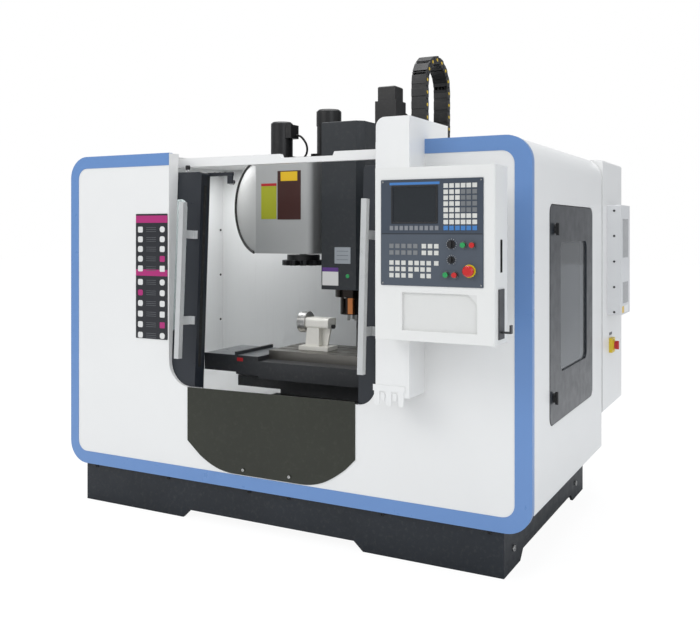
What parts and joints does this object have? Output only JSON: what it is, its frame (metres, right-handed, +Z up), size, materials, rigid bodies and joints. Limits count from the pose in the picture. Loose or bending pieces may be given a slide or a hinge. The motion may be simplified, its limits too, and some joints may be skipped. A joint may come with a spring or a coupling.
{
  "type": "cnc machining center",
  "caption": "Vertical machining centre with open sliding front doors, hung control box, cross table, spindle head and umbrella tool magazine.",
  "frame": {"origin": "on the floor, at the centre of the four foundation bolt holes", "axes": "+Z up, +Y to the back of the machine, +X along its front towards the control box"},
  "size_m": [2.41, 2.064, 2.2885],
  "materials": {
    "white_paint": "gloss",
    "blue_paint": "gloss",
    "base_paint": "satin",
    "door_paint": "satin",
    "apron_paint": "satin",
    "casting_grey": "painted",
    "ground_steel": "ground",
    "cover_grey": "satin",
    "black_motor": "satin",
    "chain_plastic": "matte",
    "glass": "clear",
    "bright_steel": "polished",
    "cream_cast": "semi-gloss",
    "panel_blue": "matte",
    "key_white": "matte",
    "red_plastic": "gloss",
    "green_plastic": "gloss",
    "black_plastic": "satin",
    "yellow_plate": "satin",
    "screen_dark": "gloss"
  },
  "bodies": {
    "machine_frame": {"apron_plate": "apron_paint", "axis_motors": "black_motor", "base_plinth": "base_paint", "base_tray": "base_paint", "bed_casting": "casting_grey", "border_trim": "blue_paint", "cable_chain": "chain_plastic", "cable_duct": "white_paint", "column": "casting_grey", "column_brackets": "base_paint", "electrical_cabinet": "white_paint", "front_panel": "white_paint", "heat_exchanger": "white_paint", "inner_liner_left": "white_paint", "inner_liner_right": "white_paint", "isolator_base": "yellow_plate", "left_side_shell": "white_paint", "linear_ways": "ground_steel", "right_side_shell": "white_paint", "top_beam": "white_paint", "way_hood_fixed": "ground_steel"},
    "left_sliding_door": {"left_door": "door_paint", "left_door_pane": "glass", "left_handle": "bright_steel"},
    "right_sliding_door": {"right_door": "door_paint", "right_door_pane": "glass", "right_handle": "bright_steel"},
    "hood_stage_1": {"way_hood_1": "ground_steel"},
    "hood_stage_2": {"way_hood_2": "ground_steel"},
    "cross_saddle": {"saddle": "casting_grey"},
    "table": {"work_table": "ground_steel", "table_guards": "cover_grey", "rotary_unit": "cream_cast"},
    "faceplate": {"rotary_faceplate": "ground_steel"},
    "unit_clamp": {"clamp_knob": "black_plastic"},
    "spindle_head": {"head_casting": "door_paint", "head_cover": "door_paint", "spindle_cartridge": "bright_steel"},
    "spindle": {"spindle_shaft": "ground_steel"},
    "magazine": {"magazine_frame": "black_motor", "magazine_cover": "cover_grey", "magazine_motor": "black_motor"},
    "carousel": {"tool_carousel": "black_plastic"},
    "side_access_door": {"access_door": "door_paint", "access_window_pane": "glass"},
    "latch_high": {"upper_latch": "black_plastic"},
    "latch_low": {"lower_latch": "black_plastic"},
    "rear_cabinet_door": {"cabinet_door": "white_paint"},
    "main_switch": {"isolator_knob": "red_plastic"},
    "swing_control_box": {"control_box": "white_paint", "operator_panel": "panel_blue", "screen_glass": "screen_dark", "keypad": "key_white"},
    "emergency_stop": {"estop_button": "red_plastic"},
    "feed_knob": {"feed_selector": "black_plastic"},
    "jog_knob": {"jog_selector": "black_plastic"},
    "start_key": {"start_button": "green_plastic"},
    "stop_key": {"stop_button": "red_plastic"},
    "power_on_key": {"power_on_button": "green_plastic"},
    "power_off_key": {"power_off_button": "red_plastic"}
  },
  "joints": [
    {"name": "left_door_slide", "type": "slide", "parent": "machine_frame", "child": "left_sliding_door", "axis": [1, 0, 0], "range_m": [0, 0.421]},
    {"name": "right_door_slide", "type": "slide", "parent": "machine_frame", "child": "right_sliding_door", "axis": [-1, 0, 0], "range_m": [0, 0.421]},
    {"name": "saddle_y", "type": "slide", "parent": "machine_frame", "child": "cross_saddle", "axis": [0, 1, 0], "range_m": [-0.075, 0.325]},
    {"name": "table_x", "type": "slide", "parent": "cross_saddle", "child": "table", "axis": [1, 0, 0], "range_m": [-0.391, 0.209]},
    {"name": "hood_1_follow", "type": "slide", "parent": "machine_frame", "child": "hood_stage_1", "axis": [0, 1, 0], "range_m": [-0.0251, 0.1084]},
    {"name": "hood_2_follow", "type": "slide", "parent": "machine_frame", "child": "hood_stage_2", "axis": [0, 1, 0], "range_m": [-0.0501, 0.2168]},
    {"name": "head_z", "type": "slide", "parent": "machine_frame", "child": "spindle_head", "axis": [0, 0, 1], "range_m": [-0.02, 0.43]},
    {"name": "spindle_spin", "type": "hinge", "parent": "spindle_head", "child": "spindle", "pos_m": [0.066, -0.019, 0.95], "axis": [0, 0, 1], "continuous": true},
    {"name": "magazine_slide", "type": "slide", "parent": "machine_frame", "child": "magazine", "axis": [1, 0, 0], "range_m": [0, 0.045]},
    {"name": "carousel_spin", "type": "hinge", "parent": "magazine", "child": "carousel", "pos_m": [-0.218, -0.019, 1.165], "axis": [0, 0, 1], "continuous": true},
    {"name": "faceplate_spin", "type": "hinge", "parent": "table", "child": "faceplate", "pos_m": [-0.1, -0.175, 0.88], "axis": [1, 0, 0], "continuous": true},
    {"name": "unit_clamp_turn", "type": "hinge", "parent": "table", "child": "unit_clamp", "pos_m": [0.04, -0.175, 0.864], "axis": [1, 0, 0], "range_deg": [0, 90]},
    {"name": "access_door_hinge", "type": "hinge", "parent": "machine_frame", "child": "side_access_door", "pos_m": [1.172, 0.338, 0.99], "axis": [0, 0, 1], "range_deg": [0, 110]},
    {"name": "upper_latch_turn", "type": "hinge", "parent": "side_access_door", "child": "latch_high", "pos_m": [1.17, -0.356, 1.336], "axis": [1, 0, 0], "range_deg": [0, 90]},
    {"name": "lower_latch_turn", "type": "hinge", "parent": "side_access_door", "child": "latch_low", "pos_m": [1.17, -0.372, 0.654], "axis": [1, 0, 0], "range_deg": [0, 90]},
    {"name": "cabinet_door_hinge", "type": "hinge", "parent": "machine_frame", "child": "rear_cabinet_door", "pos_m": [0.469, 1.066, 1.05], "axis": [0, 0, 1], "range_deg": [0, 110]},
    {"name": "main_switch_turn", "type": "hinge", "parent": "machine_frame", "child": "main_switch", "pos_m": [1.19, 0.761, 0.737], "axis": [1, 0, 0], "range_deg": [0, 90]},
    {"name": "control_box_swing", "type": "hinge", "parent": "machine_frame", "child": "swing_control_box", "pos_m": [0.65, -0.836, 1.25], "axis": [0, 0, -1], "range_deg": [0, 90]},
    {"name": "estop_press", "type": "slide", "parent": "swing_control_box", "child": "emergency_stop", "axis": [0, 1, 0], "range_m": [0, 0.0055]},
    {"name": "feed_knob_turn", "type": "hinge", "parent": "swing_control_box", "child": "feed_knob", "pos_m": [0.963, -0.975, 1.281], "axis": [0, 1, 0], "range_deg": [-150, 150]},
    {"name": "jog_knob_turn", "type": "hinge", "parent": "swing_control_box", "child": "jog_knob", "pos_m": [0.963, -0.975, 1.226], "axis": [0, 1, 0], "range_deg": [-150, 150]},
    {"name": "start_press", "type": "slide", "parent": "swing_control_box", "child": "start_key", "axis": [0, 1, 0], "range_m": [0, 0.005], "stiffness_N_per_m": 400},
    {"name": "stop_press", "type": "slide", "parent": "swing_control_box", "child": "stop_key", "axis": [0, 1, 0], "range_m": [0, 0.005], "stiffness_N_per_m": 400},
    {"name": "power_on_press", "type": "slide", "parent": "swing_control_box", "child": "power_on_key", "axis": [0, 1, 0], "range_m": [0, 0.005], "stiffness_N_per_m": 400},
    {"name": "power_off_press", "type": "slide", "parent": "swing_control_box", "child": "power_off_key", "axis": [0, 1, 0], "range_m": [0, 0.005], "stiffness_N_per_m": 400}
  ],
  "couplings": [
    {"joint": "hood_1_follow", "follows": "saddle_y", "ratio": 0.33333},
    {"joint": "hood_2_follow", "follows": "saddle_y", "ratio": 0.66667}
  ]
}
